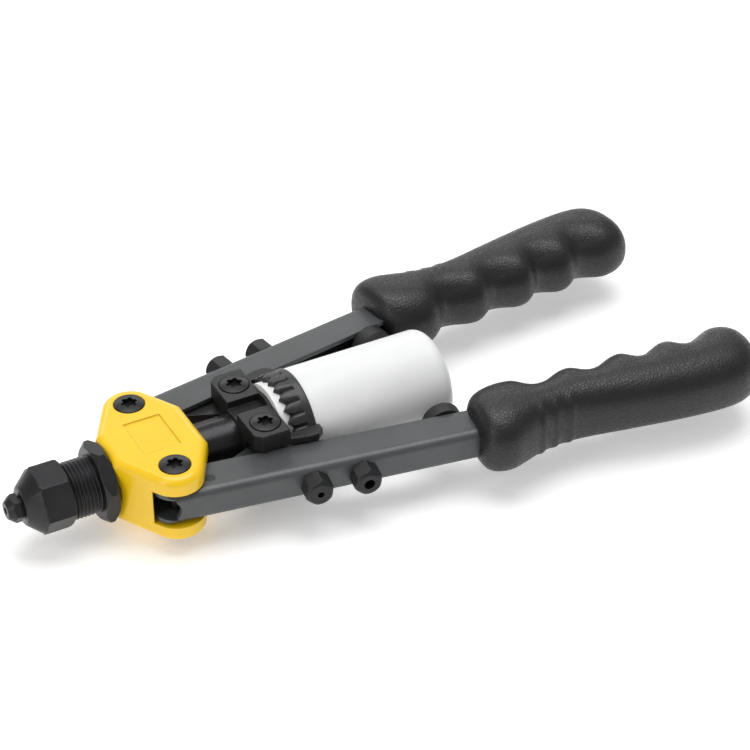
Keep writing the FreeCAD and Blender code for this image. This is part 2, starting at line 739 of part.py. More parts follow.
# ---------------------------------------------------------------- levers
def lever_arm(tag, side):
    """Pressed channel: two flanges joined by a web along the outer edge."""
    def y(ref):
        return mirrored(ref, side)

    arm = new_body("Arm" + tag)
    strip = new_sketch(arm, "ArmStrip" + tag)
    draw_polygon(strip, [
        ("0", y("lever_inner_start")), ("lever_end", y("lever_inner_end")),
        ("lever_end", y("lever_outer_end")), ("web_front", y("web_front_outer"))])
    extrude(arm, strip, "Pad", "2 * Dims.lever_half", midplane=True)
    knuckle = new_sketch(arm, "ArmKnuckle" + tag)
    draw_circle(knuckle, "0", y("pivot_y"), "knuckle")
    block = extrude(arm, knuckle, "Pad", "2 * Dims.lever_half", midplane=True)

    high = size("lever_half")
    end = size("lever_end")
    slope = (size("lever_outer_end") - size("web_front_outer")) / (end - size("web_front"))

    def outer_edge(edge):
        middle = edge.valueAt((edge.FirstParameter + edge.LastParameter) / 2)
        line = size("web_front_outer") + slope * (middle.x - size("web_front"))
        level = flat_at(edge, high) or flat_at(edge, -high)
        return level and edge.Length > 50 and abs(abs(middle.y) - line) < 0.5

    round_edges(arm, block, "lever_bend", outer_edge)
    inside = new_sketch(arm, "ArmInside" + tag)
    corner = size("web_front_outer") - size("lever_skin")
    far_corner = size("lever_outer_end") - size("lever_skin")
    points = [Vector(-30, 0, 0), Vector(end + 10, 0, 0), Vector(end + 10, side * (
        far_corner + slope * 10), 0), Vector(size("web_front"), side * corner, 0),
        Vector(size("web_front"), side * 60, 0), Vector(-30, side * 60, 0)]
    for i in range(6):
        inside.addGeometry(Part.LineSegment(points[i], points[(i + 1) % 6]), False)
    for i in range(6):
        inside.addConstraint(Sketcher.Constraint("Coincident", i, 2, (i + 1) % 6, 1))
    inside.addConstraint(Sketcher.Constraint("PointOnObject", 0, 1, -1))
    inside.addConstraint(Sketcher.Constraint("PointOnObject", 1, 1, -1))
    for curve in (1, 3, 5):
        inside.addConstraint(Sketcher.Constraint("Vertical", curve))
    inside.addConstraint(Sketcher.Constraint("Horizontal", 4))
    drive = (
        ("DistanceX", 0, 1, -30.0, "-30"),
        ("DistanceX", 0, 2, end + 10, "Dims.lever_end + 10"),
        ("DistanceY", 3, 2, side * 60.0, f"{side * 60}"),
        ("DistanceX", 3, 1, size("web_front"), "Dims.web_front"),
        ("DistanceY", 3, 1, side * corner, f"{side} * (Dims.web_front_outer - Dims.lever_skin)"),
        ("DistanceY", 1, 2, side * (far_corner + slope * 10),
         f"{side} * (Dims.lever_outer_end - Dims.lever_skin + 10 * (Dims.lever_outer_end"
         " - Dims.web_front_outer) / (Dims.lever_end - Dims.web_front))"),
    )
    for kind, curve, point, value, text in drive:
        index = inside.addConstraint(Sketcher.Constraint(kind, -1, 1, curve, point, value))
        inside.setExpression(f"Constraints[{index}]", text)
    extrude(arm, inside, "Pocket", "2 * (Dims.lever_half - Dims.lever_sheet)", midplane=True)
    notch = new_sketch(arm, "ArmNotch" + tag, "XZ_Plane")
    draw_circle(notch, "web_notch_x", "0", "web_notch")
    extrude(arm, notch, "Pocket", "4 * Dims.slot_reach", midplane=True)
    bores = new_sketch(arm, "ArmBores" + tag)
    draw_circle(bores, "0", y("pivot_y"), "pivot_hole")
    draw_circle(bores, "pin_x", y("pin_y"), "pin_radius")
    extrude(arm, bores, "Pocket", "4 * Dims.lever_half", midplane=True)
    return arm


def web_normal(side):
    """Direction square to a lever's web, pointing away from the tool."""
    lean = math.radians(size("lever_angle"))
    return Vector(-math.sin(lean), side * math.cos(lean), 0)


def web_point(station, side):
    """Point on the outer face of a lever's web at a station along the tool."""
    run = size("lever_end") - size("web_front")
    slope = (size("lever_outer_end") - size("web_front_outer")) / run
    return Vector(station, side * (
        size("web_front_outer") + slope * (station - size("web_front"))), 0)


def along(name, kind, start, way, sizes, spin=0.0):
    """Part primitive set on a point with its axis along a direction."""
    obj = doc.addObject("Part::" + kind, name)
    rotation = Rotation(way, spin) * Rotation(Vector(0, 0, 1), way)
    obj.Placement = FreeCAD.Placement(start, rotation)
    for key, text in sizes.items():
        obj.setExpression(key, text)
    return obj


def spare_nosepiece(tag, side, station_ref, hole_ref):
    """Hexagonal nosepiece screwed into the web, its stub inside the channel."""
    way = web_normal(side)
    base = web_point(size(station_ref), side)
    inner = base - way * (size("lever_sheet") + 1.6)
    bar = along("SpareHex" + tag, "Prism", base, way,
                {"Circumradius": "Dims.spare_corner", "Height": "Dims.spare_reach"}, 12)
    bar.Polygon = 6
    sleeve = along("SpareSleeve" + tag, "Cylinder", base, way,
                   {"Radius": "Dims.spare_corner", "Height": "Dims.spare_reach"})
    bevel = along("SpareBevel" + tag, "Cone", base + way * (
        size("spare_reach") - size("spare_bevel")), way,
        {"Radius1": "Dims.spare_corner", "Radius2": "Dims.spare_tip_radius",
         "Height": "Dims.spare_bevel"})
    lower = along("SpareLower" + tag, "Cylinder", base, way,
                  {"Radius": "Dims.spare_corner", "Height": "Dims.spare_reach - Dims.spare_bevel"})
    envelope = fuse("SpareEnvelope" + tag, [lower, bevel])
    tip = common("SpareTip" + tag, [bar, sleeve, envelope])
    stub = along("SpareStub" + tag, "Cylinder", inner, way,
                 {"Radius": "Dims.spare_stub", "Height": "Dims.lever_sheet + 1.6"})
    hole = along("SpareHole" + tag, "Cylinder", inner - way, way,
                 {"Radius": cell(hole_ref), "Height": "2 * Dims.spare_reach"})
    return cut("Spare" + tag, fuse("SpareSolid" + tag, [tip, stub]), hole)


def bumper(tag, side):
    """Round stop on the open side of the channel, its stem against the web."""
    way = web_normal(side) * -1
    skin = size("lever_skin") * math.cos(math.radians(size("lever_angle")))
    seat = web_point(size("bumper_x"), side) + way * skin
    depth = 2 * size("lever_half") + 1.0 - size("lever_sheet") + 1.4
    foot = seat + way * depth
    stem = along("BumperStem" + tag, "Cylinder", seat, way,
                 {"Radius": "Dims.bumper_stem", "Height": f"{depth}"})
    pad = along("BumperPad" + tag, "Cylinder", foot, way,
                {"Radius": "Dims.bumper_radius", "Height": "Dims.bumper_long - Dims.bumper_lead"})
    lead = along("BumperLead" + tag, "Cone", foot + way * (
        size("bumper_long") - size("bumper_lead")), way,
        {"Radius1": "Dims.bumper_radius", "Radius2": "Dims.bumper_radius - Dims.bumper_lead",
         "Height": "Dims.bumper_lead"})
    return fuse("Bumper" + tag, [stem, pad, lead])


# Stations along a grip: place on the tool, middle of the section across the
# tool, half widths towards the tool and away from it, half height.
GRIP_STATIONS = [
    (107.8, 41.2, 8.6, 8.8, 7.4),
    (109.6, 41.3, 13.0, 13.4, 11.4),
    (113.5, 41.4, 15.4, 15.8, 13.1),
    (119.0, 41.5, 16.6, 16.4, 13.4),
    (126.0, 41.6, 16.2, 13.9, 13.1),
    (135.5, 41.8, 10.8, 11.2, 12.5),
    (149.0, 42.3, 13.5, 11.3, 12.4),
    (157.8, 43.2, 10.8, 12.3, 12.4),
    (170.5, 44.6, 14.6, 13.8, 12.5),
    (178.5, 45.4, 11.6, 14.6, 12.6),
    (189.5, 46.6, 15.2, 15.5, 12.7),
    (197.8, 47.5, 12.4, 15.9, 12.8),
    (208.0, 48.2, 16.1, 15.7, 12.9),
    (214.0, 48.6, 15.6, 14.4, 12.2),
    (218.4, 48.8, 13.2, 11.8, 10.2),
    (220.9, 48.9, 9.0, 8.0, 7.2),
    (221.6, 49.0, 5.6, 5.0, 4.6),
]


def grip_section(station, middle, inward, outward, half_height):
    """Rounded section of a grip, square to the lever."""
    points = []
    for i in range(16):
        angle = 2 * math.pi * i / 16
        across = math.cos(angle)
        width = outward if across > 0 else inward
        fullness = 2.35
        y = math.copysign(abs(across) ** (2 / fullness), across) * width
        up = math.sin(angle)
        z = math.copysign(abs(up) ** (2 / fullness), up) * half_height
        lean = size("grip_lean") * y
        points.append(Vector(station - lean, middle + y, z + size("grip_lift")))
    curve = Part.BSplineCurve()
    curve.interpolate(points, True)
    return Part.Wire(curve.toShape())


def grip_shape(side):
    """Grip body with the channel's seat cut into its front."""
    sections = [grip_section(*station) for station in GRIP_STATIONS]
    body = Part.makeLoft(sections, True, False, False)
    high = size("lever_half")
    run = size("lever_end") - size("web_front")
    slope = (size("lever_outer_end") - size("web_front_outer")) / run
    inner_slope = (size("lever_inner_end") - size("lever_inner_start")) / size("lever_end")

    def inner(x):
        return size("lever_inner_start") + inner_slope * x

    def outer(x):
        return size("web_front_outer") + slope * (x - size("web_front"))

    end = size("lever_end")
    corners = [Vector(100, inner(100), -high), Vector(end, inner(end), -high),
               Vector(end, outer(end), -high), Vector(100, outer(100), -high)]
    seat = Part.Face(Part.makePolygon(corners + corners[:1])).extrude(Vector(0, 0, 2 * high))
    grip = body.cut(seat)
    return grip if side > 0 else grip.mirror(Vector(), Vector(0, 1, 0))


def link_bar(tag, side):
    """Flat link from the yoke's screw to the pin inside the lever."""
    def y(ref):
        return mirrored(ref, side)

    bar = new_body("Link" + tag)
    strip = new_sketch(bar, "LinkStrip" + tag)
    start = Vector(size("link_x"), size(y("link_y")), 0)
    end = Vector(size("pin_x"), size(y("pin_y")), 0)
    way = (end - start).normalize()
    across = Vector(-way.y, way.x, 0) * size("link_bar_half")
    corners = [start + across, end + across, end - across, start - across]
    for i in range(4):
        strip.addGeometry(Part.LineSegment(corners[i], corners[(i + 1) % 4]), False)
    for i in range(4):
        strip.addConstraint(Sketcher.Constraint("Coincident", i, 2, (i + 1) % 4, 1))
    run = "sqrt((Dims.link_x - Dims.pin_x)^2 + (Dims.pin_y - Dims.link_y)^2)"
    for i, (x_ref, y_ref, way_sign) in enumerate([
            ("link_x", "link_y", 1), ("pin_x", "pin_y", 1),
            ("pin_x", "pin_y", -1), ("link_x", "link_y", -1)]):
        for kind, value, text in (
                ("DistanceX", corners[i].x,
                 f"Dims.{x_ref} - {way_sign * side} * Dims.link_bar_half"
                 f" * (Dims.pin_y - Dims.link_y) / {run}"),
                ("DistanceY", corners[i].y,
                 f"{side} * Dims.{y_ref} - {way_sign} * Dims.link_bar_half"
                 f" * (Dims.link_x - Dims.pin_x) / {run}")):
            index = strip.addConstraint(Sketcher.Constraint(kind, -1, 1, i, 1, value))
            strip.setExpression(f"Constraints[{index}]", text)
    extrude(bar, strip, "Pad", "2 * Dims.link_half", midplane=True)
    for name, x_ref, y_ref, radius, height in (
            ("Boss", "link_x", "link_y", "link_boss", "link_boss_half"),
            ("Eye", "pin_x", "pin_y", "link_eye", "link_half")):
        disc = new_sketch(bar, f"Link{name}{tag}")
        draw_circle(disc, x_ref, y(y_ref), radius)
        extrude(bar, disc, "Pad", f"2 * Dims.{height}", midplane=True)
    bores = new_sketch(bar, "LinkBores" + tag)
    draw_circle(bores, "link_x", y("link_y"), "link_hole")
    draw_circle(bores, "pin_x", y("pin_y"), "link_eye_hole")
    extrude(bar, bores, "Pocket", "4 * Dims.link_boss_half", midplane=True)
    return bar


for tag, side in (("Far", 1), ("Near", -1)):
    suffix = tag.lower()
    spares = []
    for place, station, hole in (("Front", "spare_front_x", "spare_front_hole"),
                                 ("Rear", "spare_rear_x", "spare_rear_hole")):
        spares.append((place, spare_nosepiece(place + tag, side, station, hole)))
    arm = lever_arm(tag, side)
    drill = fuse("SpareDrill" + tag, [
        along(f"SpareDrill{place}{tag}", "Cylinder",
              web_point(size(station), side) - web_normal(side) * 8, web_normal(side),
              {"Radius": "Dims.spare_stub", "Height": "16"})
        for place, station in (("Front", "spare_front_x"), ("Rear", "spare_rear_x"))])
    finish(cut("Lever" + tag, arm, drill), "lever_" + suffix)
    for place, spare in spares:
        finish(spare, f"spare_nosepiece_{place.lower()}_{suffix}")
    pin = post("PinRod" + tag, "Dims.pin_x", cell(mirrored("pin_y", side)),
               "-Dims.lever_half", "Dims.lever_half", "Dims.pin_radius")
    finish(compound("LinkPin" + tag, [pin]), "link_pin_" + suffix)
    finish(bumper(tag, side), "bumper_" + suffix)
    grip = doc.addObject("Part::Feature", "Grip" + tag)
    grip.Shape = grip_shape(side)
    finish(grip, "grip_" + suffix)
    finish(link_bar(tag, side), "link_" + suffix)

# ---------------------------------------------------------------- write out
doc.recompute()
faults = [f"{obj.Name}: {obj.State}" for obj in doc.Objects
          if "Invalid" in obj.State or "Error" in obj.State]
if faults:
    raise RuntimeError("failed objects: " + "; ".join(faults))
for node in nodes:
    shape = node.Shape
    if shape.isNull() or not shape.isValid() or not shape.Solids:
        raise RuntimeError("bad shape: " + node.Label)
    box = shape.BoundBox
    print(f"{node.Label:28s} solids {len(shape.Solids)} volume {shape.Volume:10.1f} "
          f"x {box.XMin:7.2f} {box.XMax:7.2f} y {box.YMin:7.2f} {box.YMax:7.2f} "
          f"z {box.ZMin:6.2f} {box.ZMax:6.2f}")
    shape.exportStep(f"parts/{node.Label}.step")
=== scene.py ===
import math

import bmesh
import bpy
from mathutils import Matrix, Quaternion, Vector


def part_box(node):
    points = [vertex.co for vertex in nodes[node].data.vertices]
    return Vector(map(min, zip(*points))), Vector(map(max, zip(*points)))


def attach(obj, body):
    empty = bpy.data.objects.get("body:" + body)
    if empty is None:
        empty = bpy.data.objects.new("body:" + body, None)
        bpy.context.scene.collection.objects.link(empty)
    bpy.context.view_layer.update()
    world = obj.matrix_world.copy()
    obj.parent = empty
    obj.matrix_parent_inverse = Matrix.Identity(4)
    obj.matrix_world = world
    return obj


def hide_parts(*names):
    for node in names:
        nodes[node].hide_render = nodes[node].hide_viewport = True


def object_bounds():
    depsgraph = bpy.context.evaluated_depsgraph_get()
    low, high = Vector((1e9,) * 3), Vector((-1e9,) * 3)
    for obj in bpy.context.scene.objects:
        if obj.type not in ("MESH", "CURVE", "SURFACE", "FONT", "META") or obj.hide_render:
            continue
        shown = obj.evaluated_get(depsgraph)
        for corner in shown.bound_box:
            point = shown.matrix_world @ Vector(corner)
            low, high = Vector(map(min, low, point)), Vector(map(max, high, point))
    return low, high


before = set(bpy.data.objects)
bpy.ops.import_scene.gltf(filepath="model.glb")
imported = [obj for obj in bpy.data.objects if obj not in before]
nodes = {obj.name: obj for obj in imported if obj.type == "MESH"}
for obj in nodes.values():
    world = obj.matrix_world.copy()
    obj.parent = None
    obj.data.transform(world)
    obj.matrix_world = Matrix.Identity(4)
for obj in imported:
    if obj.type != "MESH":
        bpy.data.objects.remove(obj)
cad_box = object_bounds()

# The tool's own frame: X along the tool from the lever pivots, Z from its axis,
# in millimetres. It is moved to the model's frame by the casting's place.
MM = 0.001
HEAD_FRONT = 18.2               # from the pivots forward to the casting's front
head_low, head_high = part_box("head_casting")
AXIS_Z = (head_low[2] + head_high[2]) / 2
PIVOT_X = head_low[0] + HEAD_FRONT * MM


def place(x, y, z):
    return Vector((PIVOT_X + x * MM, y * MM, AXIS_Z + z * MM))


# ------------------------------------------------------------------ materials
def new_material(name):
    material = bpy.data.materials.new(name)
    material.use_nodes = True
    tree = material.node_tree
    shader = tree.nodes["Principled BSDF"]
    return material, tree, shader


def add(tree, kind, **settings):
    node = tree.nodes.new(kind)
    for key, value in settings.items():
        if key in node.inputs:
            node.inputs[key].default_value = value
        else:
            setattr(node, key, value)
    return node


def coordinates(tree, stretch=(1, 1, 1)):
    texture = add(tree, "ShaderNodeTexCoord")
    mapping = add(tree, "ShaderNodeMapping")
    mapping.inputs["Scale"].default_value = stretch
    tree.links.new(texture.outputs["Object"], mapping.inputs["Vector"])
    return mapping.outputs["Vector"]


def noise_at(tree, where, scale, detail=4.0, roughness=0.55):
    node = add(tree, "ShaderNodeTexNoise", Scale=scale, Detail=detail, Roughness=roughness)
    tree.links.new(where, node.inputs["Vector"])
    return node.outputs["Fac"]


def ramp(tree, value, stops):
    node = add(tree, "ShaderNodeValToRGB")
    ends = node.color_ramp.elements
    while len(ends) < len(stops):
        ends.new(0.5)
    for end, (position, colour) in zip(ends, stops):
        end.position = position
        end.color = (*colour, 1.0) if len(colour) == 3 else colour
    tree.links.new(value, node.inputs["Fac"])
    return node.outputs["Color"]


def to_range(tree, value, low, high, new_low, new_high):
    node = add(tree, "ShaderNodeMapRange")
    for key, number in (("From Min", low), ("From Max", high),
                        ("To Min", new_low), ("To Max", new_high)):
        node.inputs[key].default_value = number
    tree.links.new(value, node.inputs["Value"])
    return node.outputs["Result"]


def mix_colour(tree, factor, first, second):
    """Mix of two colours, each a tuple or another node's output."""
    node = add(tree, "ShaderNodeMix", data_type="RGBA")
    for socket, colour in ((node.inputs[6], first), (node.inputs[7], second)):
        if isinstance(colour, tuple):
            socket.default_value = (*colour, 1.0)
        else:
            tree.links.new(colour, socket)
    tree.links.new(factor, node.inputs[0])
    return node.outputs[2]


def edge_mask(tree, radius, low=0.02, high=0.35):
    """0 on flats and up to 1 where the surface turns within a radius."""
    soft = add(tree, "ShaderNodeBevel", samples=6)
    soft.inputs["Radius"].default_value = radius
    geometry = add(tree, "ShaderNodeNewGeometry")
    dot = add(tree, "ShaderNodeVectorMath", operation="DOT_PRODUCT")
    tree.links.new(soft.outputs["Normal"], dot.inputs[0])
    tree.links.new(geometry.outputs["Normal"], dot.inputs[1])
    turned = add(tree, "ShaderNodeMath", operation="SUBTRACT")
    turned.inputs[0].default_value = 1.0
    tree.links.new(dot.outputs["Value"], turned.inputs[1])
    return to_range(tree, turned.outputs[0], low, high, 0.0, 1.0)


def bump(tree, shader, height, strength, distance, radius=None):
    """Relief from a height, over edges rounded by a small radius."""
    node = add(tree, "ShaderNodeBump")
    node.inputs["Strength"].default_value = strength
    node.inputs["Distance"].default_value = distance
    tree.links.new(height, node.inputs["Height"])
    if radius:
        soft = add(tree, "ShaderNodeBevel", samples=6)
        soft.inputs["Radius"].default_value = radius
        tree.links.new(soft.outputs["Normal"], node.inputs["Normal"])
    tree.links.new(node.outputs["Normal"], shader.inputs["Normal"])


def coated(name, base, deep, worn, roughness, wear=0.3, metallic=0.0, grain=900.0,
           relief=0.06, radius=0.5 * MM, coat=0.0, specular=0.5, speck=0.1):
    """Paint, oxide or plastic: soft cloudy colour, fine relief and rubbed edges."""
    material, tree, shader = new_material(name)
    where = coordinates(tree)
    clouds = noise_at(tree, where, 60.0, 5.0)
    body = ramp(tree, clouds, [(0.3, deep), (0.7, base)])
    specks = noise_at(tree, where, grain, 3.0, 0.7)
    rubbed = edge_mask(tree, radius * 1.3)
    patchy = noise_at(tree, where, 220.0, 4.0, 0.7)
    patchy = to_range(tree, patchy, 0.42, 0.68, 0.0, wear)
    mask = add(tree, "ShaderNodeMath", operation="MULTIPLY")
    tree.links.new(rubbed, mask.inputs[0])
    tree.links.new(patchy, mask.inputs[1])
    colour = mix_colour(tree, mask.outputs[0], body, worn)
    tree.links.new(colour, shader.inputs["Base Color"])
    tree.links.new(to_range(tree, specks, 0.3, 0.7, roughness - speck / 2, roughness + speck),
                   shader.inputs["Roughness"])
    shader.inputs["Metallic"].default_value = metallic
    shader.inputs["Specular IOR Level"].default_value = specular
    shader.inputs["Coat Weight"].default_value = coat
    shader.inputs["Coat Roughness"].default_value = 0.12
    bump(tree, shader, specks, relief, 0.1 * MM, radius)
    return material


def leather_grip():
    """Moulded vinyl with a fine leather grain, painted shade in the grain's crevices and a slight
    sheen.
    """
    material, tree, shader = new_material("vinyl_leather_grain")
    where = coordinates(tree)
    warp = add(tree, "ShaderNodeTexNoise", Scale=350.0, Detail=2.0)
    tree.links.new(where, warp.inputs["Vector"])
    shift = add(tree, "ShaderNodeVectorMath", operation="MULTIPLY_ADD")
    shift.inputs[1].default_value = (0.0007, 0.0007, 0.0007)
    tree.links.new(warp.outputs["Color"], shift.inputs[0])
    tree.links.new(where, shift.inputs[2])
    cells = add(tree, "ShaderNodeTexVoronoi", feature="DISTANCE_TO_EDGE", Scale=760.0)
    tree.links.new(shift.outputs[0], cells.inputs["Vector"])
    pebbles = to_range(tree, cells.outputs["Distance"], 0.0, 0.24, 0.0, 1.0)
    fine = noise_at(tree, where, 2600.0, 3.0, 0.6)
    height = add(tree, "ShaderNodeMath", operation="MULTIPLY_ADD")
    height.inputs[1].default_value = 0.25
    tree.links.new(fine, height.inputs[0])
    tree.links.new(pebbles, height.inputs[2])
    clouds = noise_at(tree, where, 45.0, 4.0)
    base = ramp(tree, clouds, [(0.3, (0.008, 0.008, 0.009)), (0.7, (0.013, 0.013, 0.014))])
    # painted shade: the colour goes darker in the crevices between the grain's pebbles, where
    # shade falls
    colour = mix_colour(tree, pebbles, (0.004, 0.004, 0.0045), base)
    tree.links.new(colour, shader.inputs["Base Color"])
    tree.links.new(to_range(tree, pebbles, 0.0, 1.0, 0.52, 0.29), shader.inputs["Roughness"])
    shader.inputs["Specular IOR Level"].default_value = 0.5
    bump(tree, shader, height.outputs[0], 0.5, 0.12 * MM)
    return material


def milky_plastic():
    """Blow-moulded white plastic that lets a little light through."""
    material, tree, shader = new_material("bottle_milky_plastic")
    where = coordinates(tree, (0.25, 1, 1))
    clouds = noise_at(tree, where, 70.0, 3.0)
    body = ramp(tree, clouds, [(0.3, (0.80, 0.805, 0.81)), (0.7, (0.87, 0.872, 0.875))])
    tree.links.new(body, shader.inputs["Base Color"])
    fine = noise_at(tree, where, 1100.0, 3.0)
    tree.links.new(to_range(tree, fine, 0.3, 0.7, 0.38, 0.5), shader.inputs["Roughness"])
    shader.inputs["Subsurface Weight"].default_value = 0.25
    shader.inputs["Subsurface Radius"].default_value = (0.004, 0.004, 0.004)
    shader.inputs["Subsurface Scale"].default_value = 1.0
    bump(tree, shader, fine, 0.05, 0.1 * MM, 0.4 * MM)
    return material


def ground_steel(name, base):
    material, tree, shader = new_material(name)
    where = coordinates(tree, (1, 6, 6))
    lines = noise_at(tree, where, 420.0, 5.0, 0.65)
    deep = tuple(0.75 * c for c in base)
    tree.links.new(ramp(tree, lines, [(0.3, deep), (0.7, base)]), shader.inputs["Base Color"])
    shader.inputs["Metallic"].default_value = 1.0
    tree.links.new(to_range(tree, lines, 0.3, 0.7, 0.26, 0.42), shader.inputs["Roughness"])
    bump(tree, shader, lines, 0.08, 0.08 * MM, 0.25 * MM)
    return material


YELLOW = coated("yellow_powder_coat", (0.95, 0.60, 0.004), (0.91, 0.56, 0.004),
                (0.99, 0.72, 0.05), 0.30, wear=0.35, grain=700.0, relief=0.12,
                radius=0.7 * MM, coat=0.25, speck=0.06)
OXIDE = coated("black_oxide_steel", (0.030, 0.030, 0.032), (0.019, 0.019, 0.021),
               (0.20, 0.20, 0.21), 0.34, wear=0.55, metallic=0.55, grain=1400.0,
               relief=0.10, radius=0.45 * MM)
SCREW = coated("black_screw_steel", (0.024, 0.024, 0.026), (0.016, 0.016, 0.017),
               (0.16, 0.16, 0.17), 0.30, wear=0.4, metallic=0.5, grain=1600.0,
               relief=0.06, radius=0.25 * MM)
CAST = coated("yoke_black_casting", (0.020, 0.020, 0.021), (0.013, 0.013, 0.014),
              (0.13, 0.13, 0.135), 0.38, wear=0.5, metallic=0.2, grain=650.0,
              relief=0.22, radius=0.7 * MM)
PAINT = coated("lever_grey_paint", (0.082, 0.087, 0.089), (0.068, 0.072, 0.074),
               (0.24, 0.25, 0.26), 0.38, wear=0.3, metallic=0.3, grain=1000.0,
               relief=0.10, radius=0.5 * MM, coat=0.08)
COLLAR = coated("collar_black_plastic", (0.020, 0.020, 0.021), (0.014, 0.014, 0.015),
                (0.07, 0.07, 0.072), 0.36, wear=0.3, grain=1500.0, relief=0.06,
                radius=0.3 * MM)
RUBBER = coated("bumper_rubber", (0.017, 0.017, 0.018), (0.011, 0.011, 0.012),
                (0.05, 0.05, 0.05), 0.55, wear=0.2, grain=1100.0, relief=0.25,
                radius=0.6 * MM)
TUBE = coated("tube_black_steel", (0.034, 0.034, 0.036), (0.022, 0.022, 0.024),
              (0.22, 0.22, 0.23), 0.26, wear=0.4, metallic=0.7, grain=1500.0,
              relief=0.05, radius=0.3 * MM)
LINK = coated("link_dark_steel", (0.042, 0.044, 0.046), (0.030, 0.031, 0.033),
              (0.18, 0.18, 0.19), 0.34, wear=0.4, metallic=0.4, grain=1300.0,
              relief=0.08, radius=0.4 * MM)
STEEL = ground_steel("ground_steel", (0.42, 0.42, 0.44))
VINYL = leather_grip()
MILKY = milky_plastic()

FINISH = {
    "head_casting": YELLOW, "yoke": CAST, "puller_tube": TUBE, "jaw_housing": TUBE,
    "front_sleeve": OXIDE, "lock_nut": OXIDE, "nosepiece": OXIDE, "bottle_collar": COLLAR,
    "mandrel_bottle": MILKY,
    "gripping_jaws": STEEL, "jaw_pusher": STEEL, "jaw_spring": STEEL, "pivot_washers": STEEL,
    "head_pivot_screws": SCREW, "head_pivot_nuts": SCREW, "link_screws": SCREW,
}
for side in ("far", "near"):
    FINISH["lever_" + side] = PAINT
    FINISH["link_" + side] = LINK
    FINISH["link_pin_" + side] = LINK
    FINISH["bumper_" + side] = RUBBER
    FINISH["grip_" + side] = VINYL
    for spot in ("front", "rear"):
        FINISH[f"spare_nosepiece_{spot}_{side}"] = OXIDE
for name, material in FINISH.items():
    obj = nodes[name]
    if not obj.material_slots:
        obj.data.materials.append(material)
    for slot in obj.material_slots:
        slot.material = material


# ------------------------------------------------------------------ mesh tools
def make_object(name, bm, material, body, sharp=32.0):
    """Mesh object with smooth faces and creases at sharp edges."""
    bmesh.ops.recalc_face_normals(bm, faces=bm.faces)
    limit = math.radians(sharp)
    for face in bm.faces:
        face.smooth = True
    for edge in bm.edges:
        edge.smooth = edge.calc_face_angle(0.0) < limit
    mesh = bpy.data.meshes.new(name)
    bm.to_mesh(mesh)
    bm.free()
    mesh.materials.append(material)
    obj = bpy.data.objects.new(name, mesh)
    bpy.context.collection.objects.link(obj)
    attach(obj, body)
    return obj


def skin(bm, rings, closed_ends=True):
    """Quads between rings of vertices; the first and last are capped."""
    count = len(rings[0])
    for low, high in zip(rings, rings[1:]):
        for i in range(count):
            j = (i + 1) % count
            bm.faces.new((low[i], low[j], high[j], high[i]))
    if closed_ends:
        bm.faces.new(rings[0])
        bm.faces.new(list(reversed(rings[-1])))


def about_axis(name, stations, radius, around, first_angle, material, body, lead=None,
               loop=False):
    """Surface about the tool's axis: a radius for each station and angle.

    lead moves a point along the axis by an amount that depends on its angle.
    A loop joins the last ring to the first, which makes a tube with a wall.
    """
    bm = bmesh.new()
    rings = []
    for index, station in enumerate(stations):
        ring = []
        for i in range(around):
            angle = math.radians(first_angle) + 2 * math.pi * i / around
            r = radius(index, station, angle)
            x = station + (lead(index, angle) if lead else 0.0)
            ring.append(bm.verts.new(place(x, r * math.cos(angle), r * math.sin(angle))))
        rings.append(ring)
    if loop:
        rings.append(rings[0])
    skin(bm, rings, closed_ends=not loop)
    return make_object(name, bm, material, body)


def hexagon(angle, first_angle, across_flats):
    """Distance from the axis to a hexagon's side at an angle."""
    turn = (angle - math.radians(first_angle)) % math.radians(60)
    return across_flats / 2 / math.cos(turn - math.radians(30))


# ------------------------------------------------------------------ front sleeve
SLEEVE_TURN = 5.4               # degrees
SLEEVE_FLATS = 21.8             # across the hexagon
THREAD_START = -34.0
THREAD_PITCH = 1.45
THREAD_STEP = 0.12
THREAD_RINGS = 132
THREAD_ROOT = 9.75
THREAD_HEIGHT = 0.75
THREAD_LEAD_IN = 1.2


def front_sleeve():
    """Hexagon with a turned cone in front and a cut thread behind."""
    outside = [(-50.5, 6.6), (-50.2, 7.15), (-44.9, 11.9), (-44.5, 12.6), (-43.4, 13.4),
               (-42.0, 13.4), (-35.6, 13.4), (-34.6, 12.3), (-34.1, 11.6), (-34.1, 9.9)]
    threads = [(THREAD_START + THREAD_STEP * i, None) for i in range(THREAD_RINGS)]
    profile = outside + threads + [(-18.2, 10.4), (-10.0, 10.4), (-10.0, 8.35),
                                   (-43.5, 8.35), (-43.5, 4.0), (-50.5, 4.0)]

    def radius(index, station, angle):
        limit = profile[index][1]
        if limit is None:
            turn = station / THREAD_PITCH - angle / (2 * math.pi)
            ridge = abs(2 * (turn - math.floor(turn)) - 1)
            lead_in = min(1.0, (station - THREAD_START) / THREAD_LEAD_IN)
            return THREAD_ROOT + THREAD_HEIGHT * min(1.0, 1.25 * ridge) * lead_in
        if -44.8 < station < -34.05 and index < len(outside) - 1:
            return min(limit, hexagon(angle, SLEEVE_TURN, SLEEVE_FLATS))
        return limit

    stations = [x for x, _ in profile]
    return about_axis("front_sleeve_threaded", stations, radius, 144, SLEEVE_TURN,
                      OXIDE, "head", loop=True)


sleeve = front_sleeve()
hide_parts("front_sleeve")


# ------------------------------------------------------------------ collar
COLLAR_TEETH = 24
TOOTH_LENGTH = 1.9
GROOVE_DEPTH = 1.0


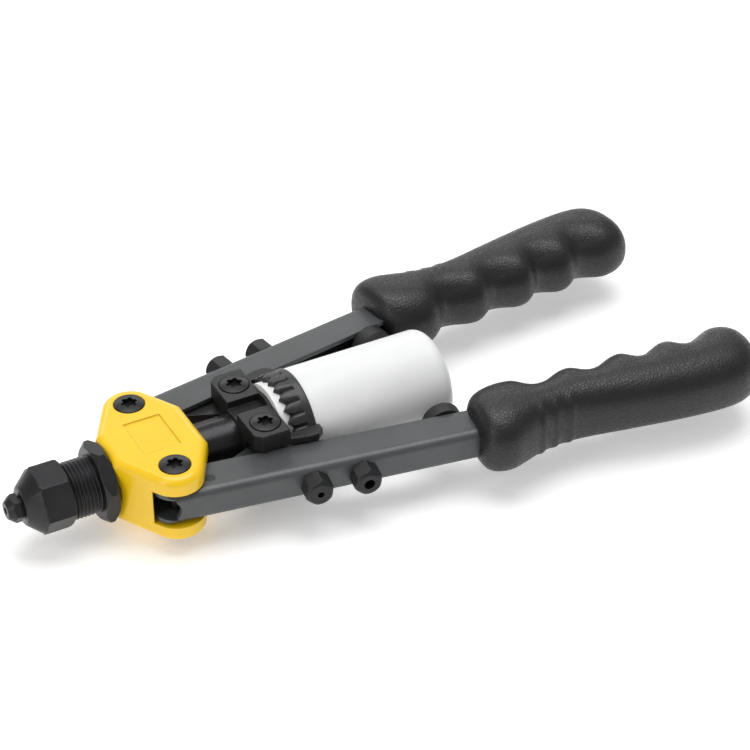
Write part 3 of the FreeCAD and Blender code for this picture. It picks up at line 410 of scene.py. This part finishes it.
def bottle_collar():
    """Grooved ring round the bottle's neck with a toothed front edge.

    Each groove starts in a notch between two teeth and ends before the rim.
    """
    profile = [(46.6, 16.75), (46.6, 17.5), (46.9, 18.5), (48.6, 19.1), (53.0, 19.15),
               (53.4, 19.15), (53.7, 19.25), (55.9, 19.25), (56.3, 18.9), (56.3, 16.75)]

    def wave(angle):
        turn = angle * COLLAR_TEETH / (2 * math.pi)
        return abs(2 * (turn - math.floor(turn)) - 1)

    def radius(index, station, angle):
        base = profile[index][1]
        if 2 <= index <= 4:
            return base - GROOVE_DEPTH * max(0.0, (wave(angle) - 0.6) / 0.4)
        return base

    def lead(index, angle):
        share = (1.0, 1.0, 1.0, 0.6)
        return TOOTH_LENGTH * wave(angle) * share[index] if index < len(share) else 0.0

    stations = [x for x, _ in profile]
    return about_axis("bottle_collar_ribbed", stations, radius, COLLAR_TEETH * 12, 0.0, COLLAR,
                      "puller", lead=lead, loop=True)


collar = bottle_collar()
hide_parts("bottle_collar")

# ------------------------------------------------------------------ grips
# Along the grip: place, middle of the section across the tool, half width
# towards the tool over the finger crests, half width away from it, half height.
GRIP_LINE = [
    (107.6, 41.2, 8.0, 8.2, 7.0),
    (108.4, 41.2, 10.8, 11.4, 9.6),
    (110.2, 41.3, 13.6, 14.0, 11.9),
    (113.5, 41.4, 15.4, 15.8, 13.1),
    (118.5, 41.5, 16.6, 16.5, 13.4),
    (124.0, 41.6, 16.6, 14.8, 13.2),
    (130.0, 41.7, 15.0, 12.6, 12.8),
    (138.0, 41.8, 13.6, 11.0, 12.5),
    (146.0, 42.1, 13.4, 11.0, 12.4),
    (154.0, 42.8, 13.8, 11.8, 12.4),
    (166.0, 44.1, 14.4, 13.3, 12.5),
    (178.0, 45.4, 14.8, 14.6, 12.6),
    (190.0, 46.7, 15.2, 15.6, 12.7),
    (202.0, 47.8, 15.8, 15.9, 12.9),
    (209.0, 48.3, 16.2, 15.6, 12.8),
    (214.0, 48.6, 15.8, 14.6, 12.2),
    (218.0, 48.8, 13.8, 12.4, 10.6),
    (220.4, 48.9, 10.6, 9.4, 8.4),
    (221.4, 49.0, 7.6, 6.6, 6.0),
    (221.6, 49.0, 4.0, 3.4, 3.2),
]
GRIP_LEAN = 0.16
GRIP_LIFT = 1.6
# Crests and hollows of the finger side, by turns, and the hollows' depth.
FINGERS = [126.0, 135.5, 149.0, 157.8, 170.5, 178.5, 189.5, 197.8, 210.8]
HOLLOW = 3.2
THUMB_RIBS = (131.5, 137.5, 143.5)
RIB_HEIGHT = 0.7
RIB_HALF = 2.2
FULLNESS = 2 / 2.35             # exponent of a section between an oval and a box
GRIP_AROUND = 112
END_ZONE = 3.0                  # rings are closer together near both ends
END_STEP = 0.2
STEP = 0.62


def line_at(x):
    """Smooth values between the stations of the grip."""
    table = GRIP_LINE
    if x <= table[0][0]:
        return table[0][1:]
    for i in range(len(table) - 1):
        a, b = table[i], table[i + 1]
        if x <= b[0]:
            t = (x - a[0]) / (b[0] - a[0])
            before = table[max(i - 1, 0)]
            after = table[min(i + 2, len(table) - 1)]
            out = []
            for k in range(1, 5):
                span = b[0] - a[0]
                m0 = (b[k] - before[k]) / max(b[0] - before[0], 1e-6) * span
                m1 = (after[k] - a[k]) / max(after[0] - a[0], 1e-6) * span
                if i == 0:
                    m0 = b[k] - a[k]
                h = t * t * (3 - 2 * t)
                out.append(a[k] + (b[k] - a[k]) * h + m0 * t * (1 - t) ** 2
                           - m1 * t * t * (1 - t))
            return tuple(out)
    return table[-1][1:]


def finger_hollow(x):
    """0 on a crest between two fingers, 1 in the hollow under one."""
    for index, (left, right) in enumerate(zip(FINGERS, FINGERS[1:])):
        if left <= x <= right:
            rise = (1 - math.cos(math.pi * (x - left) / (right - left))) / 2
            return rise if index % 2 == 0 else 1 - rise
    return 0.0


def smooth(value):
    """Soft step from 0 to 1."""
    value = min(1.0, max(0.0, value))
    return value * value * (3 - 2 * value)


def thumb_rib(x):
    """Height of the low ribs on the outer side near the neck."""
    away = min(abs(x - centre) for centre in THUMB_RIBS)
    return RIB_HEIGHT * math.cos(math.pi * away / (2 * RIB_HALF)) ** 2 if away < RIB_HALF else 0.0


def grip_ring(x):
    """Points (along, across, up) of the grip's section at a station."""
    middle, inward, outward, tall = line_at(x)
    hollow = HOLLOW * finger_hollow(x)
    rib = thumb_rib(x)
    points = []
    for i in range(GRIP_AROUND):
        angle = 2 * math.pi * i / GRIP_AROUND
        across, up = math.cos(angle), math.sin(angle)
        wide = inward if across < 0 else outward
        y = math.copysign(abs(across) ** FULLNESS, across) * wide
        z = math.copysign(abs(up) ** FULLNESS, up) * tall
        from_inside = math.degrees(math.acos(max(-1.0, min(1.0, -across))))
        from_outside = 180 - from_inside
        push = rib * smooth((70 - from_outside) / 40)
        push -= hollow * smooth((100 - from_inside) / 60)
        y += push * across
        z += push * up
        points.append((x - GRIP_LEAN * y, middle + y, z + GRIP_LIFT))
    return points


def grip(side, name, body):
    """Grip with finger hollows inside and thumb ribs outside, both ends closed."""
    bm = bmesh.new()
    first, last = GRIP_LINE[0][0], GRIP_LINE[-1][0]
    xs = [first]
    while xs[-1] < last:
        near_end = min(xs[-1] - first, last - xs[-1])
        xs.append(min(last, xs[-1] + (END_STEP if near_end < END_ZONE else STEP)))
    rings = [[bm.verts.new(place(along, side * across, up)) for along, across, up in grip_ring(x)]
             for x in xs]
    skin(bm, rings, closed_ends=False)
    for ring in (rings[0], rings[-1]):
        centre = sum((v.co for v in ring), Vector()) / GRIP_AROUND
        inset = [bm.verts.new(centre.lerp(v.co, 0.72)) for v in ring]
        hub = bm.verts.new(centre)
        for i in range(GRIP_AROUND):
            j = (i + 1) % GRIP_AROUND
            bm.faces.new((ring[i], ring[j], inset[j], inset[i]))
            bm.faces.new((inset[i], inset[j], hub))
    return make_object(name, bm, VINYL, body, sharp=70.0)


for side, which in ((1, "far"), (-1, "near")):
    piece = grip(side, f"grip_{which}_moulded", f"{which}_lever")
    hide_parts("grip_" + which)

# ------------------------------------------------------------------ stage
floor_mesh = bpy.data.meshes.new("floor")
bm = bmesh.new()
reach = 4.0
corners = [(-reach, -reach), (reach, -reach), (reach, reach), (-reach, reach)]
bm.faces.new([bm.verts.new((x, y, cad_box[0][2] - 0.0004)) for x, y in corners])
bm.to_mesh(floor_mesh)
bm.free()
floor = bpy.data.objects.new("floor", floor_mesh)
bpy.context.collection.objects.link(floor)
floor_material, floor_tree, floor_shader = new_material("floor_pale")
floor_shader.inputs["Base Color"].default_value = (0.93, 0.93, 0.93, 1)
floor_shader.inputs["Roughness"].default_value = 0.9
floor_shader.inputs["Specular IOR Level"].default_value = 0.1
floor_shader.inputs["Emission Color"].default_value = (1, 1, 1, 1)
floor_shader.inputs["Emission Strength"].default_value = 0.30
floor_mesh.materials.append(floor_material)

world = bpy.data.worlds.new("studio")
bpy.context.scene.world = world
world.use_nodes = True
world.node_tree.nodes["Background"].inputs["Color"].default_value = (1.0, 1.0, 1.0, 1)
world.node_tree.nodes["Background"].inputs["Strength"].default_value = 0.40


def area_light(name, position, target, width, depth, power):
    light = bpy.data.lights.new(name, "AREA")
    light.shape = "RECTANGLE"
    light.size = width
    light.size_y = depth
    light.energy = power
    obj = bpy.data.objects.new(name, light)
    obj.location = position
    obj.rotation_euler = (Vector(target) - Vector(position)).to_track_quat("-Z", "Y").to_euler()
    bpy.context.collection.objects.link(obj)
    return obj


area_light("key_above", (0.1, 0.15, 1.1), (0, 0, 0), 1.0, 0.8, 9)
area_light("left_strip", (-0.9, -0.25, 0.6), (0, 0, 0), 0.3, 1.1, 2.5)
area_light("back_strip", (0.3, 1.0, 0.55), (0, 0, 0), 1.2, 0.3, 2.5)

camera_data = bpy.data.cameras.new("camera")
camera_data.sensor_width = 36.0
camera_data.lens = 119.0
camera_data.clip_end = 20.0
camera = bpy.data.objects.new("camera", camera_data)
eye = place(-252.9, -652.3, 541.1)
target = place(70.30, -35.55, 37.50)
camera.location = eye
look = (target - eye).to_track_quat("-Z", "Y")
camera.rotation_euler = (look @ Quaternion((0, 0, 1), math.radians(-0.4))).to_euler()
bpy.context.collection.objects.link(camera)
bpy.context.scene.camera = camera
bpy.context.scene.view_settings.view_transform = "Standard"
